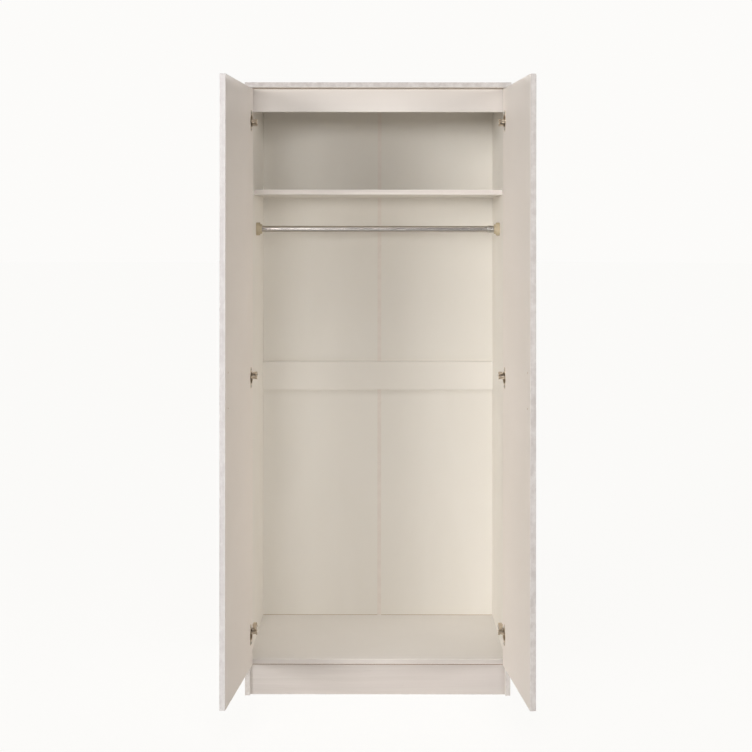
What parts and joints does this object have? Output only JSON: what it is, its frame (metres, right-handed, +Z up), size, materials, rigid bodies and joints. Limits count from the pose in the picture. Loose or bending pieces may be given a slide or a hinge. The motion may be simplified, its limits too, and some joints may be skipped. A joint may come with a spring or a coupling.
{
  "type": "wardrobe with doors",
  "caption": "Tall two-door wardrobe in white board with an upper shelf, a hanging rod, a rear cross rail and a recessed plinth, doors standing open on concealed hinges.",
  "frame": {"origin": "on the floor, at the middle of the plinth's underside", "axes": "+X towards the wardrobe's right as seen from the front, +Y from the front towards the back, +Z up"},
  "size_m": [0.8396, 0.8745, 1.8],
  "materials": {
    "carcass_board": "melamine-faced board, satin, warm white",
    "door_board": "melamine-faced board, satin, warm white",
    "back_board": "thin painted board, matt, warm white",
    "strip_plastic": "extruded strip, matt, warm white",
    "nail_steel": "bright wire nail",
    "cam_zinc": "cast zinc alloy, dull",
    "bolt_steel": "zinc-plated",
    "dowel_wood": "fluted beech, bare",
    "rod_chrome": "chrome-plated tube",
    "sleeve_metal": "dull plated sleeve",
    "socket_plastic": "moulded tan plastic, satin",
    "screw_steel": "nickel-plated",
    "cup_steel": "pressed, nickel-plated",
    "link_steel": "pressed, nickel-plated",
    "hinge_steel": "pressed, nickel-plated"
  },
  "bodies": {
    "carcass": {"back_board_left": "back_board", "back_board_right": "back_board", "back_cross_rail": "carcass_board", "back_joining_strip": "strip_plastic", "back_nails": "nail_steel", "base_panel": "carcass_board", "cam_bolts": "bolt_steel", "cam_locks": "cam_zinc", "dowels": "dowel_wood", "hanging_rod": "rod_chrome", "header_rail": "carcass_board", "hinge_arm_left_bottom": "hinge_steel", "hinge_arm_left_middle": "hinge_steel", "hinge_arm_left_top": "hinge_steel", "hinge_arm_right_bottom": "hinge_steel", "hinge_arm_right_middle": "hinge_steel", "hinge_arm_right_top": "hinge_steel", "hinge_arm_screws_left": "screw_steel", "hinge_arm_screws_right": "screw_steel", "hinge_plate_left_bottom": "hinge_steel", "hinge_plate_left_middle": "hinge_steel", "hinge_plate_left_top": "hinge_steel", "hinge_plate_right_bottom": "hinge_steel", "hinge_plate_right_middle": "hinge_steel", "hinge_plate_right_top": "hinge_steel", "hinge_plate_screws_left": "screw_steel", "hinge_plate_screws_right": "screw_steel", "plinth": "carcass_board", "rod_sleeve": "sleeve_metal", "rod_socket_left": "socket_plastic", "rod_socket_right": "socket_plastic", "rod_socket_screws": "screw_steel", "side_panel_left": "carcass_board", "side_panel_right": "carcass_board", "top_panel": "carcass_board", "upper_shelf": "carcass_board"},
    "left_door": {"door_left": "door_board", "hinge_cup_left_bottom": "cup_steel", "hinge_cup_left_middle": "cup_steel", "hinge_cup_left_top": "cup_steel", "hinge_cup_screws_left": "screw_steel"},
    "right_door": {"door_right": "door_board", "hinge_cup_right_bottom": "cup_steel", "hinge_cup_right_middle": "cup_steel", "hinge_cup_right_top": "cup_steel", "hinge_cup_screws_right": "screw_steel"},
    "left_inner_links": {"hinge_inner_link_left_bottom": "link_steel", "hinge_inner_link_left_middle": "link_steel", "hinge_inner_link_left_top": "link_steel"},
    "left_outer_links": {"hinge_outer_link_left_bottom": "link_steel", "hinge_outer_link_left_middle": "link_steel", "hinge_outer_link_left_top": "link_steel"},
    "right_inner_links": {"hinge_inner_link_right_bottom": "link_steel", "hinge_inner_link_right_middle": "link_steel", "hinge_inner_link_right_top": "link_steel"},
    "right_outer_links": {"hinge_outer_link_right_bottom": "link_steel", "hinge_outer_link_right_middle": "link_steel", "hinge_outer_link_right_top": "link_steel"}
  },
  "joints": [
    {"name": "left_door_hinge", "type": "hinge", "parent": "carcass", "child": "left_door", "pos_m": [-0.3805, -0.0335, 0.9375], "axis": [0, 0, 1], "range_deg": [0, 95.5]},
    {"name": "left_inner_link_pivot", "type": "hinge", "parent": "carcass", "child": "left_inner_links", "pos_m": [-0.35485, -0.02915, 0.9375], "axis": [0, 0, -1], "range_deg": [0, 61.81]},
    {"name": "left_outer_link_pivot", "type": "hinge", "parent": "carcass", "child": "left_outer_links", "pos_m": [-0.35661, -0.02293, 0.9375], "axis": [0, 0, -1], "range_deg": [0, 23.28]},
    {"name": "right_door_hinge", "type": "hinge", "parent": "carcass", "child": "right_door", "pos_m": [0.3805, -0.0335, 0.9375], "axis": [0, 0, -1], "range_deg": [0, 95.5]},
    {"name": "right_inner_link_pivot", "type": "hinge", "parent": "carcass", "child": "right_inner_links", "pos_m": [0.35485, -0.02915, 0.9375], "axis": [0, 0, 1], "range_deg": [0, 61.81]},
    {"name": "right_outer_link_pivot", "type": "hinge", "parent": "carcass", "child": "right_outer_links", "pos_m": [0.35661, -0.02293, 0.9375], "axis": [0, 0, 1], "range_deg": [0, 23.28]}
  ],
  "couplings": [
    {"joint": "left_inner_link_pivot", "follows": "left_door_hinge", "ratio": 0.64727},
    {"joint": "left_outer_link_pivot", "follows": "left_door_hinge", "ratio": 0.24372},
    {"joint": "right_inner_link_pivot", "follows": "right_door_hinge", "ratio": 0.64727},
    {"joint": "right_outer_link_pivot", "follows": "right_door_hinge", "ratio": 0.24372}
  ]
}
